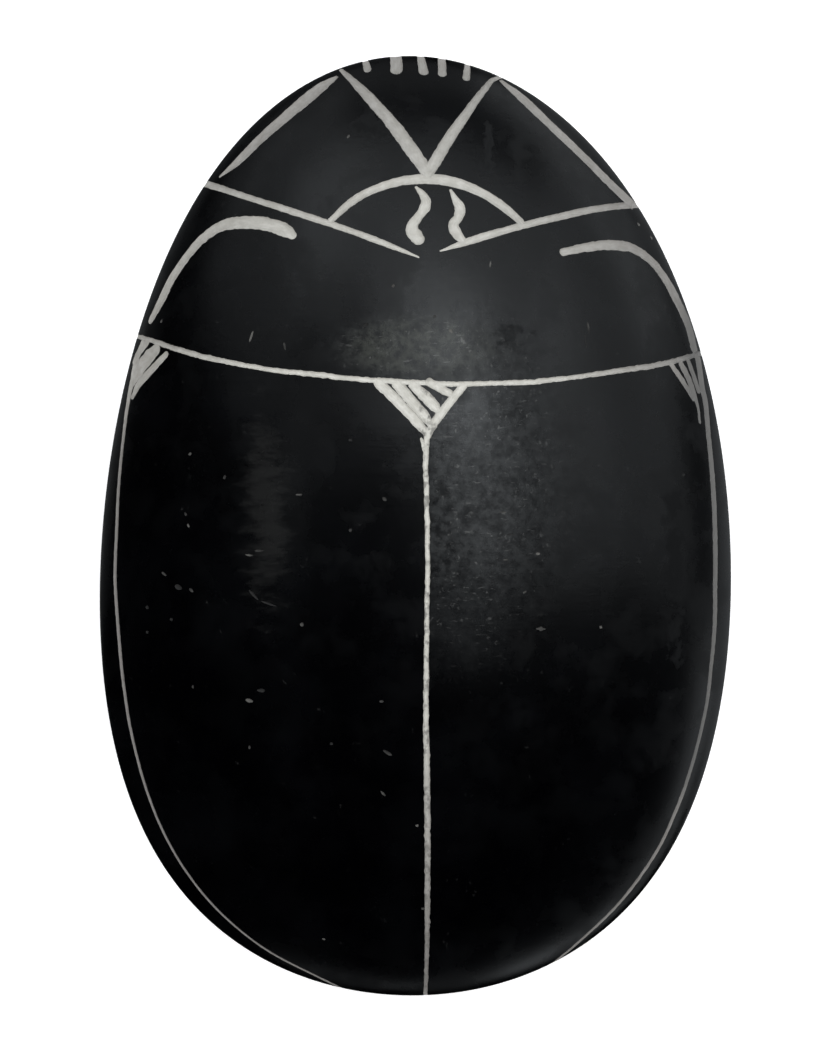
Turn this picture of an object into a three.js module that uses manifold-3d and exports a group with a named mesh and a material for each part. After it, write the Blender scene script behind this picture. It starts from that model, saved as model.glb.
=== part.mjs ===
// A scarab amulet carved from one black stone: a smooth egg-shaped back, flanks that draw in to a
// flat underside, and incised lines for the head, the shoulders, the wing cases and the legs.
// Millimetres, +Z up, the head towards +Y. The origin is the middle of the underside.

import * as THREE from 'three';
import { mergeVertices } from 'three/addons/utils/BufferGeometryUtils.js';
import Module from 'manifold-3d';

// Size of the stone
const halfLength = 32.5;
const halfWidth = 21.68;
const height = 20;
const girdleHeight = 8.5; // the widest level, where the back meets the flanks
const backRise = height - girdleHeight;

// Outline of the stone, seen from above: q runs from -1 at the tail to 1 at the head
const shoulderTaper = 0.105; // narrows the head end and widens the tail end
const endFullness = 0.116; // fills both ends out beyond an ellipse
const tailBlunting = 0.036;
const handCutDrift = [0.046, 0.344, -0.396, -0.447]; // how far the middle line wanders, cubic in q

// Section of the stone
const crownFlatness = 2.1; // 2 is a plain curve over the crown, more is flatter
const rimRoundness = 1.3; // 1 meets the girdle at an edge, 2 is a full round
const headDrop = 0.08; // the back is this share lower at the head and higher at the tail
const footShare = 0.9; // the underside against the outline
const flankRoundness = 1.7; // 1 is a straight flank, more stays upright for longer
const footRound = 0.5; // small round where the flank meets the underside

// The carver's tool
const deepest = 0.45; // depth of a narrow line, share of its width
const scrapeDepth = 0.08; // a wide line is a shallow scrape, this deep and a share of its width more
const scrapeShare = 0.2;
const grooveFloor = 0.35; // flat floor, share of the groove's width
const grooveStep = 2.6; // longest distance between sections of a groove
const shortestStep = 0.2;
const grooveTurn = THREE.MathUtils.degToRad(16); // most that the stone may turn between two sections
const roundEnd = 0.3; // wider ends than this are rounded, narrower ones are points
const toolLift = 0.25; // how far a cutter stands out of the stone
const overEdge = 1.9; // how far the lines that cross the girdle run on down the flank

// The line round the flank that sets off the base
const baseLineHeight = 3;
const baseLineWidth = 0.5;

// Facets
const facetsAround = 64;
const facetsUpBack = 13;
const facetsUpFlank = 3;

const wasm = await Module();
wasm.setup();

// The form of the stone. A point of the unit disc stands for a point of the plan: its x runs across,
// and its y, q, runs from tail to head. The disc's rim is the outline.

const egg = (q) => 1 - shoulderTaper * q + endFullness * q ** 2 - tailBlunting * q ** 3;

const drift = (q) => handCutDrift.reduce((sum, share, power) => sum + share * q ** power, 0);

const headSlope = (q) => 1 - headDrop * q;

function discToPlan(disc) {
  return new THREE.Vector2(halfWidth * disc.x * egg(disc.y) + drift(disc.y), halfLength * disc.y);
}

function planToDisc(x, y) {
  const q = y / halfLength;
  return new THREE.Vector2((x - drift(q)) / (halfWidth * egg(q)), q);
}

// How far out the flank lies at a height, as a share of the outline
function flankShare(z) {
  return 1 - (1 - footShare) * Math.max(1 - z / girdleHeight, 0) ** flankRoundness;
}

// A point on the back, or past the outline on the flank, as if the flank were folded out flat
function onStone(x, y) {
  const disc = planToDisc(x, y);
  const reach = disc.length();
  if (reach <= 1) {
    const rise = backRise * (1 - reach ** crownFlatness) ** (1 / rimRoundness);
    return new THREE.Vector3(x, y, girdleHeight + rise * headSlope(disc.y));
  }
  const z = girdleHeight - (reach - 1) * halfLength;
  const plan = discToPlan(disc.setLength(flankShare(z)));
  return new THREE.Vector3(plan.x, plan.y, z);
}

// Zero on the surface and growing outwards
function outside(x, y, z) {
  const disc = planToDisc(x, y);
  if (z < girdleHeight) return (disc.length() / flankShare(z)) ** crownFlatness - 1;
  const rise = (z - girdleHeight) / (backRise * headSlope(disc.y));
  return disc.length() ** crownFlatness + rise ** rimRoundness - 1;
}

function surfaceNormal({ x, y, z }) {
  const h = 0.02;
  return new THREE.Vector3(
    outside(x + h, y, z) - outside(x - h, y, z),
    outside(x, y + h, z) - outside(x, y - h, z),
    outside(x, y, z + h) - outside(x, y, z - h),
  ).normalize();
}

// A closed mesh to a solid: shared corners are merged and flat triangles at the poles are dropped
function toSolid(geometry) {
  geometry.deleteAttribute('normal');
  geometry.deleteAttribute('uv');
  const merged = mergeVertices(geometry, 1e-4);
  const corners = merged.index.array;
  const triangles = [];
  for (let i = 0; i < corners.length; i += 3) {
    const [a, b, c] = corners.slice(i, i + 3);
    if (a !== b && b !== c && c !== a) triangles.push(a, b, c);
  }
  return new wasm.Manifold(new wasm.Mesh({
    numProp: 3,
    vertProperties: new Float32Array(merged.attributes.position.array),
    triVerts: new Uint32Array(triangles),
  }));
}

// Turns a profile of disc radius and height, then draws the round turning out to the plan
function turnedToPlan(profile) {
  const points = profile.map(([reach, z]) => new THREE.Vector2(reach, z));
  const geometry = new THREE.LatheGeometry(points, facetsAround).rotateX(Math.PI / 2);
  const position = geometry.attributes.position;
  for (let i = 0; i < position.count; i++) {
    const disc = new THREE.Vector2(position.getX(i), position.getY(i));
    const plan = discToPlan(disc);
    const rise = Math.max(position.getZ(i) - girdleHeight, 0);
    position.setXYZ(i, plan.x, plan.y, position.getZ(i) + rise * (headSlope(disc.y) - 1));
  }
  return toSolid(geometry);
}

function stoneBlank() {
  const footReach = flankShare(0);
  const footInset = footRound / halfLength;
  const profile = [[0, 0], [footReach - footInset, 0], [footReach - footInset * 0.3, footRound * 0.3]];
  for (let i = 0; i < facetsUpFlank; i++) {
    const z = footRound + (girdleHeight - footRound) * i / facetsUpFlank;
    profile.push([flankShare(z), z]);
  }
  for (let i = 0; i < facetsUpBack; i++) {
    const turn = Math.PI / 2 * i / facetsUpBack;
    const rise = backRise * Math.sin(turn) ** (2 / rimRoundness);
    profile.push([Math.cos(turn) ** (2 / crownFlatness), girdleHeight + rise]);
  }
  profile.push([0, height]);
  return turnedToPlan(profile);
}

const depthOf = (width) => Math.min(deepest * width, scrapeDepth + scrapeShare * width);

// How much wider the mouth of a cutter is on each side than the line it leaves on the surface
const flareOf = (width) => width * (1 - grooveFloor) / 2 * toolLift / depthOf(width);

// A ring-shaped cutter for the base line
function baseLine() {
  const reach = flankShare(baseLineHeight);
  const floor = reach - depthOf(baseLineWidth) / halfWidth;
  const mouth = reach + toolLift / halfWidth;
  const halfMouth = baseLineWidth / 2 + flareOf(baseLineWidth);
  return turnedToPlan([
    [floor, baseLineHeight],
    [mouth, baseLineHeight - halfMouth],
    [mouth, baseLineHeight + halfMouth],
    [floor, baseLineHeight],
  ]);
}

// A cutter for one incised line: a four-cornered section, wide at the mouth and narrow at the floor,
// carried along the stone. Each mark is x, y and the line's width there.
function incised(marks) {
  const knots = marks.map((mark) => new THREE.Vector3(...mark));
  const curve = new THREE.CatmullRomCurve3(knots, false, 'centripetal');
  const course = curve.getPoints(marks.length * 40).map((knot) => {
    const at = onStone(knot.x, knot.y);
    return { at, normal: surfaceNormal(at), width: knot.z };
  });
  const stations = thinned(course);
  const start = endStation(stations[0], stations[1]);
  const end = endStation(stations.at(-1), stations.at(-2));
  return carried([...start, ...stations, ...end]);
}

// Leaves sections one groove step apart, and closer together where the stone turns away
function thinned(course) {
  const stations = [course[0]];
  let run = 0;
  for (let i = 1; i < course.length; i++) {
    run += course[i].at.distanceTo(course[i - 1].at);
    const turn = course[i].normal.angleTo(stations.at(-1).normal);
    if (run > grooveStep || turn > grooveTurn) {
      stations.push(course[i]);
      run = 0;
    }
  }
  if (run < shortestStep) stations.pop();
  stations.push(course.at(-1));
  return stations;
}

// A rounded end gets one more, narrower section beyond the line's last mark
function endStation(last, before) {
  if (last.width <= roundEnd) return [];
  const onward = new THREE.Vector3().subVectors(last.at, before.at).setLength(last.width * 0.4);
  const at = onward.add(last.at);
  return [{ at, normal: last.normal, width: last.width * 0.45 }];
}

function carried(stations) {
  const last = stations.length - 1;
  const geometry = new THREE.CylinderGeometry(1, 1, 1, 4, last, false, Math.PI / 4);
  const position = geometry.attributes.position;
  for (let i = 0; i < position.count; i++) {
    const index = Math.round((position.getY(i) + 0.5) * last);
    const { at, normal, width } = stations[index];
    const ahead = stations[Math.min(index + 1, last)].at;
    const behind = stations[Math.max(index - 1, 0)].at;
    const side = new THREE.Vector3().subVectors(ahead, behind).cross(normal).normalize();
    const atMouth = position.getZ(i) > 0;
    const up = atMouth ? toolLift : -depthOf(width);
    const half = atMouth ? width / 2 + flareOf(width) : width * grooveFloor / 2;
    const across = half * Math.sign(Math.round(position.getX(i)));
    position.setXYZ(i, ...at.clone().addScaledVector(side, across).addScaledVector(normal, up));
  }
  return toSolid(geometry);
}

// Teeth of the head shield: short strokes over the front edge, as the x where each crosses the edge,
// the x and y of its inner end, and its widths at both
const teeth = [
  [-3.55, -3.3, 31.45, 0.4, 0.56],
  [-1.35, -1.3, 31.45, 0.8, 0.87],
  [0.35, 0.6, 31.2, 0.53, 0.7],
  [1.8, 1.85, 31.1, 0.56, 0.61],
  [3.65, 3.5, 30.8, 0.35, 0.55],
].map(([edgeX, x, y, edgeWidth, width]) => [
  [2 * edgeX - x, halfLength + overEdge, edgeWidth * 0.8],
  [edgeX, halfLength - 0.1, edgeWidth],
  [x, y, width],
]);

// The V of the head, its left arm and its right
const headV = [
  [[-5.15, 31.5, 0.3], [-3.45, 29.7, 0.74], [-1.85, 27.9, 0.89], [-0.45, 26, 0.98], [0.8, 24.2, 0.92]],
  [[5.95, 31.1, 0.3], [4.85, 30.2, 0.46], [3.65, 28.55, 0.63], [2.5, 26.85, 0.8], [0.85, 24.1, 0.83]],
];

// Leaf-shaped cuts along both cheeks
const cheeks = [
  [[-13.55, 24.05, 0.16], [-10.55, 26.8, 0.9], [-7.55, 29.45, 1.17], [-6.5, 30.25, 1], [-5.3, 31.1, 0.2]],
  [[5.85, 30.8, 0.3], [7.05, 29.8, 0.79], [11.55, 25.5, 0.8], [13.55, 23.5, 0.87], [15.05, 22.15, 1]],
];

// The back of the head: two lines that fall towards the middle, and the arc between them
const neck = [
  [[-15.8, 24.1, 0.45], [-12.35, 22.85, 0.44], [-5.1, 20.35, 0.45], [-1.55, 19, 0.39], [0.25, 18.25, 0.14]],
  [[17, 22.4, 0.5], [13.45, 21.95, 0.49], [6.65, 20.35, 0.49], [3.4, 19.3, 0.45], [1.7, 18.75, 0.14]],
  [[-5.75, 20.85, 0.44], [-4.45, 22.05, 0.59], [0.7, 23.7, 0.74], [5.85, 21.9, 0.66], [7.2, 20.75, 0.53]],
];

// Two wavy strokes under the arc
const waves = [
  [
    [0.1, 23.1, 0.2], [0.7, 22, 0.7], [0.25, 21.15, 0.62], [-0.2, 20.45, 0.8], [0.3, 19.4, 0.69],
    [0.45, 19.15, 0.4],
  ],
  [[2.4, 22.9, 0.2], [3.05, 21.65, 0.76], [2.85, 21, 0.65], [2.6, 20.5, 0.75], [3.35, 19.25, 0.64]],
];

// The folded forelegs: a hooked stroke on each shoulder
const forelegs = [
  [[-18.3, 14.05, 0.4], [-16.7, 17.2, 0.75], [-14.6, 19.8, 0.81], [-11.45, 20.8, 0.94], [-8.5, 20.05, 0.9]],
  [[10.1, 18.7, 0.56], [13.25, 19.25, 0.72], [16.3, 18.2, 0.77], [18.15, 15.4, 1], [19.25, 12.25, 0.95]],
];

// The line across the shoulders, and the line down the middle between the wing cases
const shoulderLine = [
  [-19.6, 13.2, 0.3], [-16.65, 12.2, 0.36], [-11.8, 10.95, 0.36], [-1, 9.75, 0.37],
  [5.15, 9.65, 0.35], [14.9, 10.75, 0.38], [18.85, 11.65, 0.38], [20.8, 12.2, 0.35],
];
const wingSeam = [
  [0.75, 6.2, 0.38], [0.7, 4.1, 0.36], [0.78, -3, 0.33], [0.75, -12.5, 0.37],
  [0.8, -22, 0.4], [0.78, -29.5, 0.36], [0.65, -halfLength - overEdge, 0.25],
];

// The hatched triangle at the head of the seam
const scutellum = [
  [[-2.45, 9.7, 0.71], [-1, 8.2, 0.61], [0.4, 6.6, 0.52]],
  [[-1.1, 9.55, 0.59], [0.85, 7.35, 0.37]],
  [[-0.1, 9.55, 0.51], [1.35, 8.1, 0.51]],
  [[1.05, 9.7, 0.48], [2.3, 9.05, 0.48]],
  [[3.25, 9.55, 0.54], [2.15, 8.2, 0.57], [0.8, 6, 0.4]],
];

// The hatched triangles at the wing cases' outer corners
const cornerHatching = [
  [[-17.15, 11.75, 0.48], [-18.2, 10.7, 0.63], [-19.15, 9.65, 0.65], [-19.5, 8.9, 0.4]],
  [[-17.8, 12.1, 0.65], [-18.55, 11.2, 0.85], [-19.3, 10.15, 0.87]],
  [[-18.5, 12.6, 0.67], [-19, 11.7, 0.73], [-19.4, 10.9, 0.79]],
  [[17.55, 11.1, 0.42], [18.4, 9.9, 0.46], [19.15, 8.65, 0.35]],
  [[18.3, 11.1, 0.5], [18.85, 10.05, 0.59], [19.2, 9.05, 0.5], [19.6, 7.15, 0.25]],
  [[18.8, 11.35, 0.44], [19.55, 9.25, 0.47]],
];

// The outer edges of the wing cases, which run over the tail and meet the seam under it
const tailMeeting = [0.65, -halfLength - overEdge, 0.25];
const wingEdges = [
  [
    [-18.85, 12.65, 0.45], [-19.3, 11.4, 0.6], [-19.8, 8.75, 0.6], [-20.45, 2.85, 0.45],
    [-20.65, -3.6, 0.43], [-20.2, -10.1, 0.35], [-19.05, -16.45, 0.35], [-16.65, -22.5, 0.38],
    [-12.6, -27.5, 0.33], [-7.15, -30.95, 0.31], [-3, -33, 0.3], tailMeeting,
  ],
  [
    [19.5, 11.7, 0.7], [19.75, 9.85, 0.7], [20.2, 6.3, 0.6], [20.6, 1, 0.57], [20.65, -4.2, 0.53],
    [20.4, -9.5, 0.5], [19.55, -14.7, 0.48], [17.95, -19.7, 0.47], [15.4, -24.35, 0.41],
    [12, -28.1, 0.33], [7, -32, 0.3], tailMeeting,
  ],
];

// Three bent legs on each flank, between the girdle and the base line. Each is the angle of its ends
// and of its knee, counted round the disc from the right-hand side.
const legWidth = 0.45;
const legTop = 1.2; // distances down the flank from the girdle
const legKnee = 3.2;
const legFoot = girdleHeight - baseLineHeight - 0.3;
const legs = [[38, 47], [4, -5], [-30, -40]].flatMap(([ends, knee]) => [1, -1].map((side) => {
  const joints = [[ends, legTop], [knee, legKnee], [ends, legFoot]];
  return joints.map(([degrees, drop]) => {
    const angle = THREE.MathUtils.degToRad(degrees);
    const disc = new THREE.Vector2(side * Math.cos(angle), Math.sin(angle));
    const plan = discToPlan(disc.multiplyScalar(1 + drop / halfLength));
    return [plan.x, plan.y, legWidth];
  });
}));

const lines = [
  ...teeth, ...headV, ...cheeks, ...neck, ...waves, ...forelegs, shoulderLine, wingSeam, ...scutellum,
  ...cornerHatching, ...wingEdges, ...legs,
];

let stone = stoneBlank().subtract(baseLine());
for (const marks of lines) stone = stone.subtract(incised(marks));

function toGeometry(solid) {
  const { vertProperties, triVerts } = solid.getMesh();
  const geometry = new THREE.BufferGeometry();
  geometry.setAttribute('position', new THREE.BufferAttribute(vertProperties, 3));
  geometry.setIndex(new THREE.BufferAttribute(triVerts, 1));
  geometry.computeVertexNormals();
  return geometry;
}

const blackStone = new THREE.MeshStandardMaterial({ color: 0x17171a, roughness: 0.42, metalness: 0 });

const scarab = new THREE.Mesh(toGeometry(stone), blackStone);
scarab.name = 'scarab';

const amulet = new THREE.Group();
amulet.add(scarab);

export default amulet;
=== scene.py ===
import bpy
import math
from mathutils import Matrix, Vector, kdtree, noise


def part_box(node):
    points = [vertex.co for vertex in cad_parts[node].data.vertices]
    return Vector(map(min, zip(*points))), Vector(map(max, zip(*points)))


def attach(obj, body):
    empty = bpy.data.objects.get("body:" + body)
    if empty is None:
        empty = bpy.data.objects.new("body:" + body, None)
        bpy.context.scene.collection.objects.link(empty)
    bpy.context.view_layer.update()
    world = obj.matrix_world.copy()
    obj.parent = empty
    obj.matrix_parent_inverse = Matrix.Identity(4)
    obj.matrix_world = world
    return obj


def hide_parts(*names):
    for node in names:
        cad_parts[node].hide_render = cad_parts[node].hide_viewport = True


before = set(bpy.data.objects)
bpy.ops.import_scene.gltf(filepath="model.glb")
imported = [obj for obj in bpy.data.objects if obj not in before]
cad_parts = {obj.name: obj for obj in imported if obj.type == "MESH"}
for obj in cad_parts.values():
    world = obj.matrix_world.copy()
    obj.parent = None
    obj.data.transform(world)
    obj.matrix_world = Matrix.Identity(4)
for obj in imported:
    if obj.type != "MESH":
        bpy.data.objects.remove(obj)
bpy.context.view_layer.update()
stoneLow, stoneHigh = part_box("scarab")

mm = 0.001  # the tables of carved lines are in millimetres, all else is in metres

# The form of the stone. Its size comes from the frame, and q runs from -1 at the tail to 1 at the head.
form = {
    "halfLength": (stoneHigh.y - stoneLow.y) / 2,
    "height": stoneHigh.z,
    "halfWidthShare": 0.6671,  # of the half length
    "girdleShare": 0.425,  # height of the widest level, where the back meets the flanks
    "shoulderTaper": 0.105,  # with the next two, how the plan departs from an ellipse, a cubic in q
    "endFullness": 0.116,
    "tailBlunting": 0.036,
    "drift": (0.046, 0.344, -0.396, -0.447),  # how the middle line wanders, in millimetres, a cubic in q
    "crownFlatness": 2.1,  # powers of the back's section
    "rimRoundness": 1.3,
    "headDrop": 0.08,
    "footShare": 0.9,  # width of the underside, share of the widest level
    "flankRoundness": 1.7,
    "footRound": 0.6 * mm,
    "around": 300,  # the blank's points
    "rings": 132,
    "flankRings": 0.36,  # share of the lower rings that lie on the flank
    "footRings": 0.06,
    "handPolish": 0.010 * mm,  # how uneven the polished back is
    "polishPatch": 5.5 * mm,
    "finerPatch": 2.7,  # times finer, for a second and weaker unevenness
    "finerShare": 0.4,
    "evenRim": 0.25,  # the back gets even over this last angle above the girdle, in radians
}

halfLength = form["halfLength"]
halfWidth = halfLength * form["halfWidthShare"]
girdleHeight = form["height"] * form["girdleShare"]
backRise = form["height"] - girdleHeight


def egg(q):
    return 1 - form["shoulderTaper"] * q + form["endFullness"] * q**2 - form["tailBlunting"] * q**3


def drift(q):
    return mm * sum(share * q**power for power, share in enumerate(form["drift"]))


def headSlope(q):
    return 1 - form["headDrop"] * q


def discToPlan(p, q):  # a point of the unit disc to a point of the plan
    return halfWidth * p * egg(q) + drift(q), halfLength * q


def planToDisc(x, y):
    q = y / halfLength
    return (x - drift(q)) / (halfWidth * egg(q)), q


def flankShare(z):
    lift = max(1 - z / girdleHeight, 0)
    return 1 - (1 - form["footShare"]) * lift ** form["flankRoundness"]


def onStone(x, y):  # past the outline the flank counts as folded out flat
    p, q = planToDisc(x, y)
    reach = math.hypot(p, q)
    if reach <= 1:
        rise = backRise * (1 - reach ** form["crownFlatness"]) ** (1 / form["rimRoundness"])
        return Vector((x, y, girdleHeight + rise * headSlope(q)))
    z = girdleHeight - (reach - 1) * halfLength
    share = flankShare(z) / reach
    return Vector((*discToPlan(p * share, q * share), z))


def outside(x, y, z):  # zero on the surface, growing outwards
    p, q = planToDisc(x, y)
    reach = math.hypot(p, q)
    if z < girdleHeight:
        return (reach / flankShare(z)) ** form["crownFlatness"] - 1
    rise = (z - girdleHeight) / (backRise * headSlope(q))
    return reach ** form["crownFlatness"] + rise ** form["rimRoundness"] - 1


def surfaceNormal(point):
    x, y, z = point
    near = 0.02 * mm
    return Vector((
        outside(x + near, y, z) - outside(x - near, y, z),
        outside(x, y + near, z) - outside(x, y - near, z),
        outside(x, y, z + near) - outside(x, y, z - near),
    )).normalized()


def deselectAll():
    bpy.ops.object.select_all(action="DESELECT")


# The blank: a globe whose upper half is drawn to the back and whose lower half to flank and underside.
def backPoint(turn, around):
    reach = math.cos(turn) ** (2 / form["crownFlatness"])
    rise = backRise * math.sin(turn) ** (2 / form["rimRoundness"])
    p, q = reach * math.cos(around), reach * math.sin(around)
    return Vector((*discToPlan(p, q), girdleHeight + rise * headSlope(q)))


def lowerPoint(share, around):  # share runs from 0 at the girdle to 1 in the middle of the underside
    footRound, onFlank, onFoot = form["footRound"], form["flankRings"], form["footRings"]
    if share < onFlank:
        z = girdleHeight + (footRound - girdleHeight) * share / onFlank
        reach = flankShare(z)
    elif share < onFlank + onFoot:
        turn = math.pi / 2 * (share - onFlank) / onFoot
        z = footRound * (1 - math.sin(turn))
        reach = flankShare(footRound) - footRound / halfLength * (1 - math.cos(turn))
    else:
        z = 0
        left = (1 - share) / (1 - onFlank - onFoot)
        reach = (flankShare(footRound) - footRound / halfLength) * left
    return Vector((*discToPlan(reach * math.cos(around), reach * math.sin(around)), z))


def unevenness(place):
    coarse = noise.noise(place / form["polishPatch"])
    finer = noise.noise(place / form["polishPatch"] * form["finerPatch"] + Vector((5, 5, 5)))
    return coarse + form["finerShare"] * finer


def makeBlank():
    deselectAll()
    bpy.ops.mesh.primitive_uv_sphere_add(
        segments=form["around"], ring_count=form["rings"], radius=1, location=(0, 0, 0))
    stone = bpy.context.active_object
    stone.name = "scarabStone"
    for vertex in stone.data.vertices:
        x, y, z = vertex.co
        around = math.atan2(y, x)
        turn = math.asin(max(-1, min(1, z)))
        if turn >= 0:
            place = backPoint(turn, around)
            wave = unevenness(place)
            place += surfaceNormal(place) * wave * form["handPolish"] * min(1, turn / form["evenRim"])
        else:
            place = lowerPoint(-turn / (math.pi / 2), around)
        vertex.co = place
    print("blank:", len(stone.data.vertices), "points")
    return stone


# The carver's tool, for every line
tool = {
    "deepest": 0.45,  # a narrow line's depth, share of its width
    "scrapeDepth": 0.08 * mm,
    "scrapeShare": 0.2,  # a wide line is a shallow scrape
    "narrowest": 0.05 * mm,
    "overEdge": 1.9,  # millimetres that a line runs on down the flank
    "overEdgeShare": 0.8,  # width there of a stroke over the front edge of the head
    "edgeInset": 0.1,  # millimetres
    "girdleFade": 0.7 * mm,  # a line is shallow this near the widest level, so it doesn't notch the outline
    "girdleLeft": 0.12,  # share of its depth
    "step": 0.16 * mm,  # between the stations along a line
    "endShare": 0.5,  # length of a rounded end, share of the width
    "endSteps": (0.3, 0.55, 0.75, 0.9, 0.98),
    # the cutter's section: points of its floor across the half width, its walls, and its lid above the stone
    "floorPlaces": (0, 0.6, 0.88, 1),
    "floorPower": 4,
    "wallShare": 0.3,
    "lift": 0.12 * mm,
    "lidLifts": 1.6,
    # raggedness of the edges, less for lines under taperWidth
    "rough": 0.017 * mm,
    "roughShare": 0.037,
    "taperWidth": 0.25 * mm,
    "grain": 0.34 * mm,
    "finerGrain": 2.9,  # times finer
    "finerShare": 0.5,
    "wanderGrain": 6,  # times coarser, for the sway of the whole line
    "wanderShare": 0.7,
    "floorRough": 0.2,
    "floorGrain": (1.7, 2.5),  # along and across
    "clearance": 1.3 * mm,  # lines further apart than this are cut in one pass
}


def depthOf(width):
    return min(tool["deepest"] * width, tool["scrapeDepth"] + tool["scrapeShare"] * width)


def course(marks):  # a smooth line through the marks, as closely spaced stations with a width at each
    marks = [Vector(mark) * mm for mark in marks]
    spans = [(b - a).length for a, b in zip(marks, marks[1:])]
    slopes = [(b - a) / span for a, b, span in zip(marks, marks[1:], spans)]
    tangents = [slopes[0]]
    for i in range(1, len(marks) - 1):
        before, after = spans[i - 1], spans[i]
        tangents.append((slopes[i - 1] * after + slopes[i] * before) / (before + after))
    tangents.append(slopes[-1])
    fine = []
    for i, span in enumerate(spans):
        count = max(4, math.ceil(span / (tool["step"] / 4)))
        for j in range(count + (i == len(spans) - 1)):
            t = j / count
            fine.append(
                marks[i] * (2 * t**3 - 3 * t**2 + 1) + tangents[i] * span * (t**3 - 2 * t**2 + t)
                + marks[i + 1] * (3 * t**2 - 2 * t**3) + tangents[i + 1] * span * (t**3 - t**2))
    stations, run, last = [], 0, None
    for x, y, width in fine:
        place = onStone(x, y)
        if last is not None:
            run += (place - last).length
        last = place
        if not stations or run - stations[-1][2] >= tool["step"]:
            stations.append((place, max(width, tool["narrowest"]), run))
    return stations


def roundedEnd(station, before):  # extra stations that close a blunt end in a half round
    place, width, run = station
    onward = (place - before[0]).normalized()
    sign = 1 if run > before[2] else -1
    length = width * tool["endShare"]
    extra = []
    for t in tool["endSteps"]:
        extra.append((place + onward * length * t, width * math.sqrt(1 - t * t), run + sign * length * t))
    return extra


def oriented(stations):  # each station with the stone's normal there and the way across the line
    crossings = []
    for i, (place, width, run) in enumerate(stations):
        ahead = stations[min(i + 1, len(stations) - 1)][0]
        behind = stations[max(i - 1, 0)][0]
        normal = surfaceNormal(place)
        crossings.append((place, width, run, normal, (ahead - behind).cross(normal).normalized()))
    return crossings


def raggedness(run, seed, side):  # of one edge of a line, the bare numbers only part the patterns
    grain = run / tool["grain"]
    coarse = noise.noise(Vector((grain, seed * 3.7, 11 * side)))
    finer = noise.noise(Vector((grain * tool["finerGrain"], seed * 5.1, 7 * side)))
    return coarse + tool["finerShare"] * finer


def sectionPoint(crossing, u, onLid, seed, rough):  # u runs from -1 to 1 across the cutter
    place, width, run, normal, side = crossing
    size = abs(u)
    loose = (tool["rough"] + tool["roughShare"] * width) * rough * min(1, width / tool["taperWidth"])
    half = width / 2 + raggedness(run, seed, 1 if u > 0 else -1) * loose
    wander = noise.noise(Vector((run / (tool["wanderGrain"] * tool["grain"]), seed * 2.3, 0.5)))
    depth = depthOf(width)
    wallSlope = depth / (width * tool["wallShare"])
    mouth = half + tool["lift"] / wallSlope
    if onLid:
        out, up = mouth * size, tool["lift"] * tool["lidLifts"]
    elif size > 0.99:
        out, up = mouth, tool["lift"]
    else:
        out = half * tool["floorPlaces"][round(size * len(tool["floorPlaces"]))]
        fade = min(1, max(tool["girdleLeft"], abs(place.z - girdleHeight) / tool["girdleFade"]))
        along, across = tool["floorGrain"]
        rub = noise.noise(Vector((run / tool["grain"] * along, u * across, seed)))
        shape = 1 - (out / half) ** tool["floorPower"] if half else 1
        up = -depth * fade * shape * (1 + tool["floorRough"] * rub)
    away = math.copysign(out, u) if size > 0.01 else 0
    return place + side * (away + wander * loose * tool["wanderShare"]) + normal * up


def groove(name, marks, seed, ends, rough):
    stations = course(marks)
    if ends == "round":
        head = roundedEnd(stations[0], stations[1])
        tail = roundedEnd(stations[-1], stations[-2])
        stations = head[::-1] + stations + tail
    deselectAll()
    bpy.ops.mesh.primitive_grid_add(
        x_subdivisions=2 * len(tool["floorPlaces"]), y_subdivisions=len(stations) - 1, size=2,
        location=(0, 0, 0))
    cutter = bpy.context.active_object
    cutter.name = name
    bpy.ops.object.mode_set(mode="EDIT")
    bpy.ops.mesh.select_all(action="SELECT")
    bpy.ops.mesh.extrude_region_move(TRANSFORM_OT_translate={"value": (0, 0, 1)})
    bpy.ops.mesh.select_all(action="SELECT")
    bpy.ops.mesh.normals_make_consistent(inside=False)
    bpy.ops.object.mode_set(mode="OBJECT")
    crossings = oriented(stations)
    cutWay = {}  # the pattern runs across and along the line
    for vertex in cutter.data.vertices:
        u, v, onLid = vertex.co.x, vertex.co.y, vertex.co.z > 0.5
        crossing = crossings[round((v + 1) / 2 * (len(stations) - 1))]
        vertex.co = sectionPoint(crossing, u, onLid, seed, rough)
        cutWay[vertex.index] = (u / 2 + 0.5, crossing[2] / mm)
    uv = cutter.data.uv_layers.active
    for loop in cutter.data.loops:
        uv.data[loop.index].uv = cutWay[loop.vertex_index]
    return cutter, stations


# Every carved line of the back as [x, y, width] marks, in millimetres, the head towards +y
edgeY = halfLength / mm
pastEdge = edgeY + tool["overEdge"]


def toothMarks(edgeX, x, y, edgeWidth, width):  # a stroke from down the flank over the front edge
    start = [2 * edgeX - x, pastEdge, edgeWidth * tool["overEdgeShare"]]
    return [start, [edgeX, edgeY - tool["edgeInset"], edgeWidth], [x, y, width]]


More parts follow.
